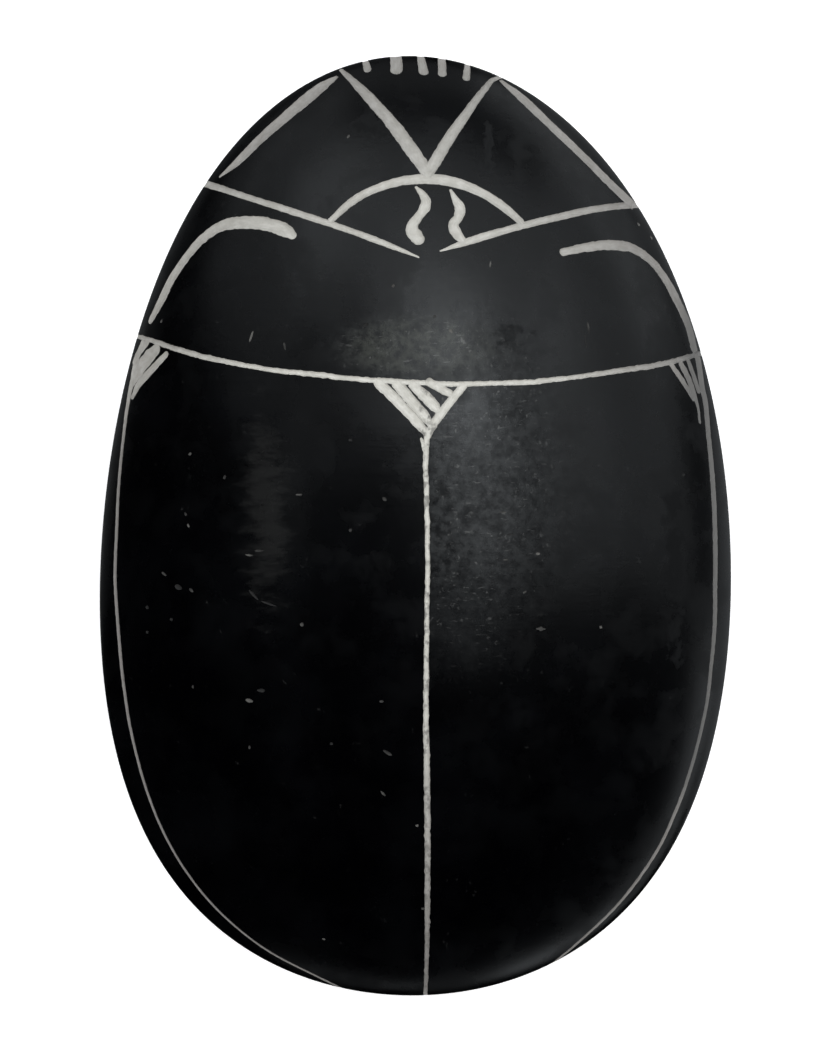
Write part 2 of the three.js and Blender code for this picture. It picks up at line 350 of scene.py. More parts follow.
teeth = [
    toothMarks(-3.55, -3.3, 31.45, 0.4, 0.56),
    toothMarks(-1.35, -1.3, 31.45, 0.8, 0.87),
    toothMarks(0.35, 0.6, 31.2, 0.53, 0.7),
    toothMarks(1.8, 1.85, 31.1, 0.56, 0.61),
    toothMarks(3.65, 3.5, 30.8, 0.35, 0.55),
]
headV = [
    [[-5.15, 31.5, 0.3], [-4.25, 30.6, 0.54], [-3.45, 29.75, 0.73], [-1.85, 27.9, 0.89], [-0.45, 26, 0.98],
     [0.8, 24.2, 0.92]],
    [[5.95, 31.05, 0.28], [5.3, 30.75, 0.37], [4.85, 30.2, 0.46], [3.65, 28.55, 0.63], [2.5, 26.85, 0.8],
     [0.85, 24.1, 0.83]],
]
cheeks = [
    [[-13.55, 24.05, 0.16], [-12.45, 24.95, 0.71], [-10.55, 26.8, 0.92], [-8.55, 28.6, 1.07],
     [-7.55, 29.45, 1.17], [-6.5, 30.3, 1], [-5.3, 31.1, 0.21]],
    [[5.85, 30.8, 0.32], [7.05, 29.8, 0.79], [9.3, 27.65, 0.79], [11.55, 25.5, 0.81], [13.55, 23.5, 0.88],
     [15.05, 22.15, 1.05]],
]
neck = [
    [[-15.9, 24.1, 0.45], [-14.4, 23.6, 0.49], [-12.35, 22.85, 0.44], [-8.7, 21.6, 0.48],
     [-5.1, 20.35, 0.44], [-1.55, 19, 0.39], [0.25, 18.25, 0.12]],
    [[17, 22.4, 0.5], [15.35, 22.2, 0.51], [13.45, 21.95, 0.49], [10, 21.2, 0.53], [6.65, 20.3, 0.5],
     [3.4, 19.3, 0.5], [1.7, 18.7, 0.12]],
]
neckArc = [
    [-5.75, 20.85, 0.45], [-4.45, 22.05, 0.6], [-2.85, 22.95, 0.6], [-1.15, 23.5, 0.68], [0.7, 23.7, 0.75],
    [2.55, 23.5, 0.8], [4.3, 22.85, 0.69], [5.85, 21.9, 0.68], [7.2, 20.75, 0.54],
]
waves = [
    [[0.05, 23.1, 0.2], [0.55, 22.55, 0.56], [0.72, 22.15, 0.68], [0.64, 21.65, 0.72], [0.25, 21.1, 0.63],
     [-0.15, 20.6, 0.76], [-0.25, 20.2, 0.89], [0, 19.75, 1], [0.3, 19.4, 0.72]],
    [[2.4, 22.9, 0.2], [2.8, 22.15, 0.57], [3.05, 21.65, 0.76], [2.88, 21, 0.65], [2.58, 20.5, 0.75],
     [2.76, 20, 0.78], [3.05, 19.6, 0.64], [3.2, 19.45, 0.55]],
]
forelegs = [
    [[-18.25, 14.2, 0.6], [-17.45, 15.7, 0.88], [-16.7, 17.2, 0.82], [-15.75, 18.55, 0.8],
     [-14.6, 19.8, 0.83], [-13.15, 20.65, 0.88], [-11.45, 20.8, 0.95], [-9.75, 20.55, 0.97],
     [-8.75, 20.1, 0.9], [-8.3, 19.75, 0.5]],
    [[10.1, 18.7, 0.56], [11.55, 19.05, 0.64], [13.25, 19.25, 0.73], [14.9, 19.1, 0.75],
     [16.3, 18.2, 0.78], [17.35, 16.85, 0.93], [18.15, 15.4, 1.03], [18.85, 13.9, 1.05],
     [19.25, 12.25, 0.95]],
]
shoulderLine = [
    [-19.6, 13.2, 0.3], [-19.05, 13.05, 0.31], [-16.65, 12.2, 0.36], [-14.25, 11.5, 0.38],
    [-11.8, 10.95, 0.34], [-9.4, 10.55, 0.34], [-6.95, 10.3, 0.38], [-4.55, 10, 0.36], [-1.05, 9.75, 0.38],
    [2.7, 9.6, 0.36], [5.15, 9.65, 0.34], [7.55, 9.75, 0.38], [10, 10, 0.34], [12.45, 10.35, 0.34],
    [14.9, 10.75, 0.38], [17.4, 11.2, 0.38], [18.85, 11.65, 0.38], [20.8, 12.2, 0.35],
]
wingSeam = [
    [0.75, 6.2, 0.39], [0.7, 4.1, 0.37], [0.77, 1.7, 0.35], [0.8, -3, 0.32], [0.75, -7.7, 0.34],
    [0.72, -12.5, 0.37], [0.78, -17.3, 0.42], [0.82, -22.1, 0.4], [0.8, -27, 0.36], [0.77, -29.5, 0.3],
    [0.65, -pastEdge, 0.25],
]
seamStart = [[0.39, 5.87, 0.2], [0.52, 5.46, 0.3], [0.68, 4.9, 0.31]]
scutellum = [
    [[-2.45, 9.7, 0.76], [-1, 8.15, 0.7], [0.4, 6.65, 0.64], [0.76, 6.2, 0.42]],
    [[-1.22, 9.6, 0.76], [-0.22, 8.4, 0.72], [0.8, 7.15, 0.6], [1.0, 6.85, 0.4]],
    [[-0.18, 9.6, 0.64], [1.4, 7.95, 0.62], [1.55, 7.75, 0.4]],
    [[0.95, 9.7, 0.62], [1.7, 9.3, 0.6], [2.45, 8.9, 0.5]],
    [[3.25, 9.5, 0.54], [2.15, 8.15, 0.58], [1.05, 6.6, 0.54], [0.78, 5.9, 0.34]],
]
cornerHatching = [
    [[-17.15, 11.75, 0.49], [-18.2, 10.7, 0.64], [-19.15, 9.65, 0.66], [-19.5, 8.9, 0.41]],
    [[-17.9, 12.05, 0.95], [-18.6, 11.35, 1.3], [-19.2, 10.6, 1.25], [-19.5, 9.9, 0.7]],
    [[-18.6, 12.6, 0.75], [-19.05, 12.05, 0.78], [-19.35, 11.4, 0.75]],
    [[17.55, 11.1, 0.43], [18.4, 9.9, 0.47], [19.15, 8.7, 0.36]],
    [[18.3, 11.1, 0.52], [18.85, 10.05, 0.61], [19.2, 9.05, 0.56], [19.4, 8.45, 0.36], [19.6, 7.15, 0.27]],
    [[18.8, 11.35, 0.45], [19.2, 10.3, 0.52], [19.55, 9.25, 0.48]],
]
tailMeeting = [0.65, -pastEdge, 0.25]
wingEdges = [
    [[-18.85, 12.65, 0.52], [-19.3, 11.4, 0.66], [-19.55, 10, 0.62], [-19.8, 8.75, 0.5],
     [-20.15, 6.1, 0.38], [-20.45, 2.85, 0.36], [-20.6, -0.4, 0.36], [-20.7, -3.6, 0.37],
     [-20.5, -6.85, 0.36], [-20.2, -10.1, 0.34], [-19.75, -13.3, 0.31], [-19.05, -16.45, 0.28],
     [-18.05, -19.55, 0.25], [-16.65, -22.5, 0.23], [-14.85, -25.15, 0.22], [-12.6, -27.5, 0.2],
     [-10, -29.45, 0.2], [-7.15, -30.95, 0.2], [-3, -33, 0.3], tailMeeting],
    [[19.5, 11.7, 0.8], [19.65, 10.85, 0.78], [19.75, 9.85, 0.72], [20, 8.65, 0.68], [20.2, 6.3, 0.61],
     [20.45, 3.7, 0.6], [20.6, 1.05, 0.58], [20.65, -1.6, 0.56], [20.65, -4.2, 0.54],
     [20.6, -6.85, 0.48], [20.4, -9.5, 0.43], [20.1, -12.1, 0.4], [19.55, -14.7, 0.38],
     [18.85, -17.25, 0.39], [17.95, -19.7, 0.38], [16.85, -22.1, 0.34], [15.4, -24.35, 0.33],
     [13.8, -26.35, 0.29], [12, -28.1, 0.26], [7, -32, 0.3], tailMeeting],
]


# Bent legs on both flanks and the line that sets off the base, as degrees round the disc from the right
flank = {
    "legWidth": 0.45,
    "legTop": 1.2,  # millimetres down the flank from the girdle
    "legKnee": 3.2,
    "legFoot": 5.2,
    "legs": [(38, 47), (4, -5), (-30, -40)],  # where the ends are, and the knee
    "baseLineDrop": 5.5,
    "baseLineWidth": 0.5,
    "baseLineArcs": [(-80, 110), (100, 290)],  # they overlap, and close the ring together
    "baseLineStep": 10,
}


def flankMark(degrees, drop, width, side=1):
    reach = 1 + drop * mm / halfLength
    turn = math.radians(degrees)
    x, y = discToPlan(side * reach * math.cos(turn), reach * math.sin(turn))
    return [x / mm, y / mm, width]


def legMarks(ends, knee, side):
    joints = [(ends, flank["legTop"]), (knee, flank["legKnee"]), (ends, flank["legFoot"])]
    return [flankMark(degrees, drop, flank["legWidth"], side) for degrees, drop in joints]


def baseLineMarks(first, last):
    turns = range(first, last + 1, flank["baseLineStep"])
    return [flankMark(degrees, flank["baseLineDrop"], flank["baseLineWidth"]) for degrees in turns]


def allGrooves():  # name, marks, kind of ends, raggedness
    rows = []

    def add(name, lines, ends="round", rough=1.0):
        for i, marks in enumerate(lines):
            rows.append((f"{name}{i + 1}", marks, ends, rough))

    add("tooth", teeth)
    add("headV", headV)
    add("cheek", cheeks, "plain")
    add("neck", neck)
    add("neckArc", [neckArc])
    add("wave", waves, rough=1.2)
    add("foreleg", forelegs, rough=1.2)
    add("shoulderLine", [shoulderLine], rough=1.8)
    add("wingSeam", [wingSeam, seamStart], rough=1.9)
    add("scutellum", scutellum, rough=1.4)
    add("cornerHatch", cornerHatching, rough=1.3)
    add("wingEdge", wingEdges, rough=1.2)
    add("leg", [legMarks(ends, knee, side) for ends, knee in flank["legs"] for side in (1, -1)])
    add("baseLine", [baseLineMarks(*arc) for arc in flank["baseLineArcs"]], "plain")
    return rows


def carve(stone, cutters):  # cutters that don't touch each other are joined and go in together
    deselectAll()
    for cutter in cutters:
        cutter.select_set(True)
    bpy.context.view_layer.objects.active = cutters[0]
    if len(cutters) > 1:
        bpy.ops.object.join()
    cutter = bpy.context.active_object
    deselectAll()
    modifier = stone.modifiers.new("carve", "BOOLEAN")
    modifier.operation = "DIFFERENCE"
    modifier.solver = "MANIFOLD"
    modifier.object = cutter
    bpy.context.view_layer.objects.active = stone
    stone.select_set(True)
    bpy.ops.object.modifier_apply(modifier=modifier.name)
    bpy.data.objects.remove(cutter)


def paintCutter(cutter, paint, index):
    for material in paint:
        cutter.data.materials.append(material)
    for polygon in cutter.data.polygons:
        polygon.material_index = index


def stationTree(stations):
    tree = kdtree.KDTree(len(stations))
    for i, (place, width, run) in enumerate(stations):
        tree.insert(place, i)
    tree.balance()
    return tree


def isClear(stations, trees):
    places = [place for place, width, run in stations[::3]]  # every third is enough
    return all(tree.find(place)[2] > tool["clearance"] for tree in trees for place in places)


def cutLines(stone, paint):
    passes = []
    for seed, (name, marks, ends, rough) in enumerate(allGrooves()):
        cutter, stations = groove(name, marks, seed, ends, rough)
        paintCutter(cutter, paint, 1)
        cutters, trees = next(((c, t) for c, t in passes if isClear(stations, t)), ([], []))
        if not cutters:
            passes.append((cutters, trees))
        cutters.append(cutter)
        trees.append(stationTree(stations))
    for i, (cutters, trees) in enumerate(passes):
        carve(stone, cutters)
        print("carving pass", i + 1, "of", len(passes), "leaves", len(stone.data.polygons), "faces")


# Nicks and short scratches in the polish: x, y, length, width in millimetres, and degrees
nicks = [
    (-15.4, 4.9, 0.28, 0.2, 20), (-13, 3.3, 0.3, 0.2, 60), (-15.7, 0.8, 0.3, 0.18, -60),
    (-15.5, 0, 0.3, 0.18, -50), (-17.2, -3.3, 0.5, 0.22, -25), (-16.2, -4.2, 0.65, 0.36, -15),
    (-15.3, -4.4, 0.42, 0.22, -30), (-18.4, -5.6, 0.3, 0.26, 0), (-16.7, -6.4, 0.26, 0.24, 0),
    (-18.4, -7.3, 0.24, 0.2, 0), (-7.7, -6.7, 0.28, 0.26, 0),
    (-15.2, -11, 0.24, 0.18, 80), (-10.5, -11.2, 0.6, 0.28, 1), (-11.3, -11.9, 0.6, 0.24, -8),
    (-2.3, -11.9, 0.3, 0.18, 0), (-11.3, -15.1, 0.26, 0.2, 80),
    (-5.7, -14.8, 0.24, 0.2, 0), (-1.9, -15.4, 0.7, 0.2, -32),
    (-2.2, -18.2, 0.5, 0.17, -50), (0.1, -20.4, 0.22, 0.2, 0), (-4.4, -0.3, 0.26, 0.22, 60),
    (-4.4, 5.8, 0.3, 0.22, 0), (-2.1, 1.8, 0.36, 0.24, -45), (-11, -4.7, 1, 0.17, -42),
    (-9.95, -5.3, 1.25, 0.15, -16), (-11.3, -2, 0.6, 0.14, -6), (-10.6, -1.7, 0.7, 0.14, 0),
    (8.3, -1.9, 0.3, 0.22, 0), (18.4, 3.5, 0.3, 0.24, 20), (8.5, -7, 0.7, 0.24, -4),
    (12.6, -6.9, 0.24, 0.2, -40), (-11.2, 12.9, 0.86, 0.17, 74), (-8.9, 12.2, 0.6, 0.17, -72),
    (11.6, 12.6, 1, 0.15, 90), (-1.5, 16.3, 0.26, 0.2, 60), (-3.4, 13.6, 0.46, 0.3, 40),
    (2.4, 13.2, 0.36, 0.2, -50), (1.3, 14.2, 0.22, 0.18, 0), (5.1, 17.8, 0.5, 0.12, 80),
    (15.4, 20.8, 0.3, 0.28, -30), (16.3, 19.9, 0.3, 0.22, -60), (11.8, 13.5, 0.9, 0.14, 90),
    (-4.6, 26.7, 0.34, 0.18, 70), (8, 28, 0.34, 0.24, 30), (-6.3, -28.4, 0.24, 0.2, 0),
    (0.5, -26.2, 0.22, 0.2, 0), (-17.5, 14.1, 0.3, 0.2, 70), (-7.9, 2.1, 0.5, 0.13, 0),
    (5.9, 0.9, 0.5, 0.12, 0), (6.4, -0.6, 0.55, 0.12, 4), (6.1, -2.3, 0.4, 0.12, 0),
    (7.4, -4.5, 0.3, 0.16, 30),
]

nickShape = {
    "depthShare": 0.22,  # of a nick's width
    "unevenness": 0.5,
    "unevenGrain": 1.7,
}


def makeNicks(paint):
    cutters = []
    for x, y, length, width, degrees in nicks:
        place = onStone(x * mm, y * mm)
        normal = surfaceNormal(place)
        deselectAll()
        bpy.ops.mesh.primitive_ico_sphere_add(subdivisions=2, radius=1, location=(0, 0, 0))
        nick = bpy.context.active_object
        along = Vector((math.cos(math.radians(degrees)), math.sin(math.radians(degrees)), 0))
        across = normal.cross(along).normalized()
        along = across.cross(normal)
        rise = nickShape["depthShare"] * width * mm
        for vertex in nick.data.vertices:
            a, b, c = vertex.co
            uneven = noise.noise(Vector((a * nickShape["unevenGrain"] + x, y, 3)))  # no two nicks alike
            b *= 1 + nickShape["unevenness"] * uneven
            vertex.co = place + along * a * length / 2 * mm + across * b * width / 2 * mm + normal * c * rise
        paintCutter(nick, paint, 2)
        cutters.append(nick)
    return cutters


# Materials. All patterns lie in the stone's own coordinates, in metres, or run along a cut line.
class Nodes:
    def __init__(self, name):
        self.material = bpy.data.materials.new(name)
        self.material.use_nodes = True
        self.tree = self.material.node_tree
        self.shader = self.tree.nodes["Principled BSDF"]
        self.coords = self.tree.nodes.new("ShaderNodeTexCoord")

    def link(self, source, target):
        self.tree.links.new(source, target)

    def coordinate(self, axis, source="Object"):
        split = self.tree.nodes.new("ShaderNodeSeparateXYZ")
        self.link(self.coords.outputs[source], split.inputs[0])
        return split.outputs["xyz".index(axis)]

    def mapped(self, scale, start=(0, 0, 0), turn=(0, 0, 0), source="Object"):
        mapping = self.tree.nodes.new("ShaderNodeMapping")
        mapping.inputs["Scale"].default_value = scale if isinstance(scale, tuple) else (scale,) * 3
        mapping.inputs["Location"].default_value = start
        mapping.inputs["Rotation"].default_value = turn
        self.link(self.coords.outputs[source], mapping.inputs["Vector"])
        return mapping.outputs["Vector"]

    def ranged(self, value, low, high, most=1.0, least=0.0):  # least up to low, most from high on
        node = self.tree.nodes.new("ShaderNodeMapRange")
        node.interpolation_type = "SMOOTHSTEP"
        node.inputs["From Min"].default_value = low
        node.inputs["From Max"].default_value = high
        node.inputs["To Min"].default_value = least
        node.inputs["To Max"].default_value = most
        self.link(value, node.inputs["Value"])
        return node.outputs["Result"]

    def noise(self, scale, detail=2, rough=0.5, span=None, **place):  # span is drawn out to 0 to 1
        node = self.tree.nodes.new("ShaderNodeTexNoise")
        node.inputs["Scale"].default_value = 1.0
        node.inputs["Detail"].default_value = detail
        node.inputs["Roughness"].default_value = rough
        self.link(self.mapped(scale, **place), node.inputs["Vector"])
        return self.ranged(node.outputs["Fac"], *span) if span else node.outputs["Fac"]

    def oval(self, centre, reach):  # 1 in the middle of an oval patch, falling evenly to 0 at its edge
        gradient = self.tree.nodes.new("ShaderNodeTexGradient")
        gradient.gradient_type = "SPHERICAL"
        scale = tuple(1 / r for r in reach)
        start = tuple(-c / r for c, r in zip(centre, reach))
        self.link(self.mapped(scale, start), gradient.inputs["Vector"])
        return gradient.outputs["Fac"]

    def patch(self, centre, reach, span, most=1.0):
        return self.ranged(self.oval(centre, reach), *span, most)

    def calc(self, kind, first, second=None):
        node = self.tree.nodes.new("ShaderNodeMath")
        node.operation = kind
        for socket, value in zip(node.inputs, (first, second)):
            if isinstance(value, (int, float)):
                socket.default_value = value
            elif value is not None:
                self.link(value, socket)
        return node.outputs[0]

    def times(self, first, second):
        return self.calc("MULTIPLY", first, second)

    def plus(self, first, second):
        return self.calc("ADD", first, second)

    def larger(self, first, second):
        return self.calc("MAXIMUM", first, second)

    def blend(self, factor, first, second):  # from a pattern to a plain number
        node = self.tree.nodes.new("ShaderNodeMix")
        self.link(factor, node.inputs[0])
        self.link(first, node.inputs[2])
        node.inputs[3].default_value = second
        return node.outputs[0]

    def mix(self, factor, first, second):  # two colours
        node = self.tree.nodes.new("ShaderNodeMix")
        node.data_type = "RGBA"
        self.link(factor, node.inputs[0])
        for socket, value in ((node.inputs[6], first), (node.inputs[7], second)):
            if isinstance(value, tuple):
                socket.default_value = (*value, 1)
            else:
                self.link(value, socket)
        return node.outputs[2]

    def bump(self, height, strength, distance, before=None):
        node = self.tree.nodes.new("ShaderNodeBump")
        node.inputs["Strength"].default_value = strength
        node.inputs["Distance"].default_value = distance
        self.link(height, node.inputs["Height"])
        if before is not None:
            self.link(before, node.inputs["Normal"])
        return node.outputs["Normal"]


# A patch is a centre, its reach each way, and the stretch of its slope that makes the soft edge.
stoneLook = {
    "black": (0.0002, 0.0002, 0.0004),
    "greyer": (0.0010, 0.0011, 0.0015),
    "clouds": {"scale": 160, "detail": 5, "rough": 0.6, "span": (0.38, 0.68)},
    # painted sheen: grey painted into the colour where the polish mirrors the lights, on the crown and along
    # the right of the seam
    "crown": ((0.0002, 0.0121, 0.019), (0.0072, 0.0030, 0.02), (0.0, 0.6)),
    "paintedCrownSheen": (0.025, 0.0268, 0.0222),
    "seamSide": ((0.0034, 0.0032, 0.019), (0.0088, 0.0164, 0.02), (0.0, 0.85)),
    "seamX": (0.0008, 0.0011),
    "paintedSheen": (0.0210, 0.0224, 0.0232),
    "mottle": {"scale": 1500, "detail": 3, "rough": 0.68, "span": (0.30, 0.72)},
    "evenY": (-0.0010, -0.0080),  # towards the tail the painted sheen is more even
    "evenShare": 0.6,
    "evenLevel": 0.5,
    # scuffs there, real wear painted lighter as glints of the painted sheen: flecks in clumps and short
    # dashes across, and faint stray flecks everywhere
    "scuffGlint": (0.075, 0.076, 0.074),
    "flecks": {"scale": (3000, 2600, 2600), "rough": 0.6, "span": (0.60, 0.78)},
    "clumps": {"scale": 620, "start": (3, 1, 0)},
    "clumpSpan": (0.36, 0.58),
    "dashes": {"scale": (1300, 5600, 1300), "start": (6, 0, 0), "rough": 0.6, "span": (0.64, 0.74)},
    "dashStrength": 0.6,
    "straySpan": (0.60, 0.70),
    "strayStrength": 0.16,
    # painted reflection: a grey streak painted down the left wing case, its edges ragged
    "reflectionStreak": (0.0075, 0.0076, 0.0076),
    "reflectionStreakPlace": ((-0.0101, 0.0010, 0.017), (0.0036, 0.0150, 0.03)),
    "reflectionStreakStrength": 0.8,
    "reflectionStreakEdge": {"scale": (500, 1500, 500), "start": (0, 4, 0), "detail": 4, "rough": 0.7},
    "reflectionStreakSpan": (0.86, 1.25),
    # below the widest level the polish was left coarser
    "flank": (0.011, 0.011, 0.0115),
    "flankRoughness": 0.5,
    "flankSpan": (0.1 * mm, -0.9 * mm),
    # the polish, with a few dull stains
    "roughness": 0.26,
    "dullRoughness": 0.40,
    "dullest": 1.4,
    "polish": {"scale": 330, "start": (0, 7, 0), "detail": 4, "rough": 0.6, "span": (0.42, 0.66)},
    "stains": [
        ((-0.0030, 0.0274, 0.015), (0.0030, 0.0028, 0.009)),
        ((0.00506, 0.0255, 0.016), (0.0007, 0.0060, 0.009)),
        ((0.0064, 0.0126, 0.019), (0.0034, 0.0021, 0.009)),
        ((0.0178, -0.0020, 0.015), (0.0016, 0.0125, 0.014)),
    ],
    "stainRoughness": 0.66,
    "stainStrength": 0.6,
    "stainEdge": {"scale": 700, "start": (0, 2, 0), "detail": 4, "rough": 0.65},
    "stainSpan": (0.76, 0.98),
    "specular": 0.5,
    # hairlines from wiping, more of them across the body than along it
    "wipedAcross": {"scale": (260, 3800, 900), "turn": (0, 0, 0.05), "detail": 4, "rough": 0.7},
    "wipedAlong": {"scale": (3000, 240, 900), "start": (2, 0, 0), "turn": (0, 0, -0.12),
                   "detail": 4, "rough": 0.7},
    "acrossShare": 0.6,
    "alongShare": 0.4,
    "hairlineBump": 0.34,
    "mottleBump": 0.12,
    "bumpDepth": 0.02 * mm,
}


# the places of the painted sheen, where the scuffs lie too, and a mottle for the painted sheen and the bumps
def sheenAndWearPlaces(n, look):
    crown = n.patch(*look["crown"])
    rightOfSeam = n.ranged(n.coordinate("x"), *look["seamX"])
    seamSide = n.times(n.patch(*look["seamSide"]), rightOfSeam)
    evenness = n.ranged(n.coordinate("y"), *look["evenY"], look["evenShare"])
    mottle = n.blend(evenness, n.noise(**look["mottle"]), look["evenLevel"])
    return crown, n.larger(crown, seamSide), mottle


def fleckPatterns(n, look):  # flecks in clumps, and stray ones
    flecks = n.noise(**look["flecks"])
    clumps = n.noise(**look["clumps"])
    clumped = n.times(flecks, n.ranged(clumps, *look["clumpSpan"]))
    stray = n.times(flecks, n.ranged(clumps, *look["straySpan"]))
    return clumped, n.times(stray, look["strayStrength"])


def stoneRoughness(n, look, scuffed, onFlank):
    dull = n.plus(n.noise(**look["polish"]), scuffed)
    rough = n.ranged(dull, 0.0, look["dullest"], look["dullRoughness"], look["roughness"])
    stained = 0.0
    for centre, reach in look["stains"]:
        stained = n.larger(n.oval(centre, reach), stained)
    stained = n.plus(n.times(stained, look["stainStrength"]), n.noise(**look["stainEdge"]))
    rough = n.blend(n.ranged(stained, *look["stainSpan"]), rough, look["stainRoughness"])
    return n.blend(onFlank, rough, look["flankRoughness"])


def blackStone():
    look = stoneLook
    n = Nodes("blackStone")
    crown, sheenAndWear, mottle = sheenAndWearPlaces(n, look)
    clumped, stray = fleckPatterns(n, look)
    onFlank = n.ranged(n.coordinate("z"), *(girdleHeight + z for z in look["flankSpan"]))

    clouds = n.noise(**look["clouds"])
    tone = n.mix(clouds, look["black"], look["greyer"])
    # painted sheen: grey painted into the black where the polish mirrors the lights
    tone = n.mix(n.times(sheenAndWear, mottle), tone, n.mix(crown, look["paintedSheen"], look["paintedCrownSheen"]))
    # painted reflection: a grey streak down the left wing case
    reflectionStreak = n.times(n.oval(*look["reflectionStreakPlace"]), look["reflectionStreakStrength"])
    reflectionStreak = n.ranged(n.plus(reflectionStreak, n.noise(**look["reflectionStreakEdge"])), *look["reflectionStreakSpan"])
    tone = n.mix(reflectionStreak, tone, look["reflectionStreak"])
    tone = n.mix(onFlank, tone, n.mix(clouds, look["greyer"], look["flank"]))
    dashes = n.times(n.noise(**look["dashes"]), look["dashStrength"])
    # scuffs, painted lighter as glints of the sheen
    scuffGlints = n.larger(n.times(n.larger(clumped, dashes), sheenAndWear), stray)
    n.link(n.mix(scuffGlints, tone, look["scuffGlint"]), n.shader.inputs["Base Color"])

    rough = stoneRoughness(n, look, n.times(clumped, sheenAndWear), onFlank)
    n.link(rough, n.shader.inputs["Roughness"])
    n.shader.inputs["Specular IOR Level"].default_value = look["specular"]

    hairlines = n.plus(
        n.times(n.noise(**look["wipedAcross"]), look["acrossShare"]),
        n.times(n.noise(**look["wipedAlong"]), look["alongShare"]))
    wiped = n.bump(hairlines, look["hairlineBump"], look["bumpDepth"])
    n.link(n.bump(mottle, look["mottleBump"], look["bumpDepth"], wiped), n.shader.inputs["Normal"])
    return n.material


cutLook = {
    "pale": (0.63, 0.62, 0.58),
    "paleDusty": (0.47, 0.46, 0.42),
    "far": (0.25, 0.24, 0.232),  # away from the paler patches the lines are greyer, most of all towards the rim
    "farDusty": (0.20, 0.19, 0.18),
    "paler": ((0.0003, 0.003, 0.019), (0.0238, 0.040, 0.06), (0.05, 0.80)),
    "palerNeck": ((0.0008, 0.0212, 0.016), (0.0100, 0.0050, 0.02), (0.0, 0.6), 0.8),
    "palerLeft": ((-0.0175, 0.0165, 0.012), (0.0150, 0.0125, 0.03), (0.0, 0.5), 0.34),
    "dust": {"scale": 1500, "detail": 4, "rough": 0.65, "span": (0.35, 0.66)},
    "streaks": {"scale": (9, 1.3, 1), "source": "UV", "detail": 3, "rough": 0.6, "span": (0.35, 0.7)},
    "dustBump": 0.35,
    "dustDepth": 0.03 * mm,
    "rightEdgeGrey": (0.12, 0.12, 0.118),  # they are greyest along the right-hand edge
    "rightEdgeX": (0.0176, 0.0192),
    "rightEdgeShare": 0.75,
    "crumb": (0.17, 0.165, 0.155),  # the fill of the seam between the wing cases is crumbly
    "seam": ((0.00078, -0.0130, 0.015), (0.0016, 0.0260, 0.03), (0.0, 0.2)),
    "crumbs": {"scale": (2100, 1700, 2100), "start": (0, 0, 9), "detail": 3, "rough": 0.6,
               "span": (0.48, 0.66)},
    "crumbShare": 0.8,
    "edge": (0.13, 0.12, 0.105),  # painted shade: the sides of a line are painted darker than its floor, where its walls fall in shade
    "wallShadeWaver": {"scale": 900, "start": (1, 1, 1), "detail": 3},
    "waverShare": 0.22,
    "wallShadeSpan": (0.32, 0.44),  # distance from the middle of the line, as a share of its width
    "wallShadeShare": 0.75,
    "roughness": 0.85,
    "specular": 0.25,
}


def paleCut():
    look = cutLook
    n = Nodes("paleCut")
    dust = n.noise(**look["dust"])
    dusted = n.times(n.plus(dust, n.noise(**look["streaks"])), 0.5)
    paler = n.larger(n.patch(*look["paler"]), n.patch(*look["palerNeck"]))
    paler = n.plus(paler, n.patch(*look["palerLeft"]))
    bright = n.mix(paler, look["far"], look["pale"])
    dull = n.mix(paler, look["farDusty"], look["paleDusty"])
    rightEdgeGrey = n.ranged(n.coordinate("x"), *look["rightEdgeX"], look["rightEdgeShare"])
    floor = n.mix(rightEdgeGrey, n.mix(dusted, dull, bright), look["rightEdgeGrey"])

    crumbs = n.times(n.noise(**look["crumbs"]), n.patch(*look["seam"]))
    floor = n.mix(n.times(crumbs, look["crumbShare"]), floor, look["crumb"])

    fromMiddle = n.calc("ABSOLUTE", n.plus(n.coordinate("x", "UV"), -0.5))
    waver = n.times(n.plus(n.noise(**look["wallShadeWaver"]), -0.5), look["waverShare"])
    # painted shade along the walls of each line
    edge = n.ranged(n.plus(fromMiddle, waver), *look["wallShadeSpan"], look["wallShadeShare"])
    n.link(n.mix(edge, floor, look["edge"]), n.shader.inputs["Base Color"])
    n.shader.inputs["Roughness"].default_value = look["roughness"]
    n.shader.inputs["Specular IOR Level"].default_value = look["specular"]
    n.link(n.bump(dust, look["dustBump"], look["dustDepth"]), n.shader.inputs["Normal"])
    return n.material


nickLook = {
    "dark": (0.018, 0.018, 0.018),
    "pale": (0.10, 0.098, 0.092),
    "tones": {"scale": 420, "start": (0, 0, 4), "detail": 1, "span": (0.40, 0.64)},
    "roughness": 0.8,
    "specular": 0.25,
}


def greyNick():
    look = nickLook
    n = Nodes("greyNick")
    tone = n.mix(n.noise(**look["tones"]), look["dark"], look["pale"])
    n.link(tone, n.shader.inputs["Base Color"])
    n.shader.inputs["Roughness"].default_value = look["roughness"]
    n.shader.inputs["Specular IOR Level"].default_value = look["specular"]
    return n.material


def shadeStone(stone):  # smooth over the polish, sharp where a cut meets it
    deselectAll()
    stone.select_set(True)
    bpy.context.view_layer.objects.active = stone
    bpy.ops.object.shade_smooth()
    finishes = {}
    for polygon in stone.data.polygons:
        for key in polygon.edge_keys:
            finishes.setdefault(key, set()).add(polygon.material_index)
    for edge in stone.data.edges:
        edge.use_edge_sharp = len(finishes[edge.key]) > 1


stone = makeBlank()
paint = [blackStone(), paleCut(), greyNick()]
for material in paint:
    stone.data.materials.append(material)
cutLines(stone, paint)
carve(stone, makeNicks(paint))
print("nicks:", len(nicks))
shadeStone(stone)

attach(stone, "root")
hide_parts("scarab")


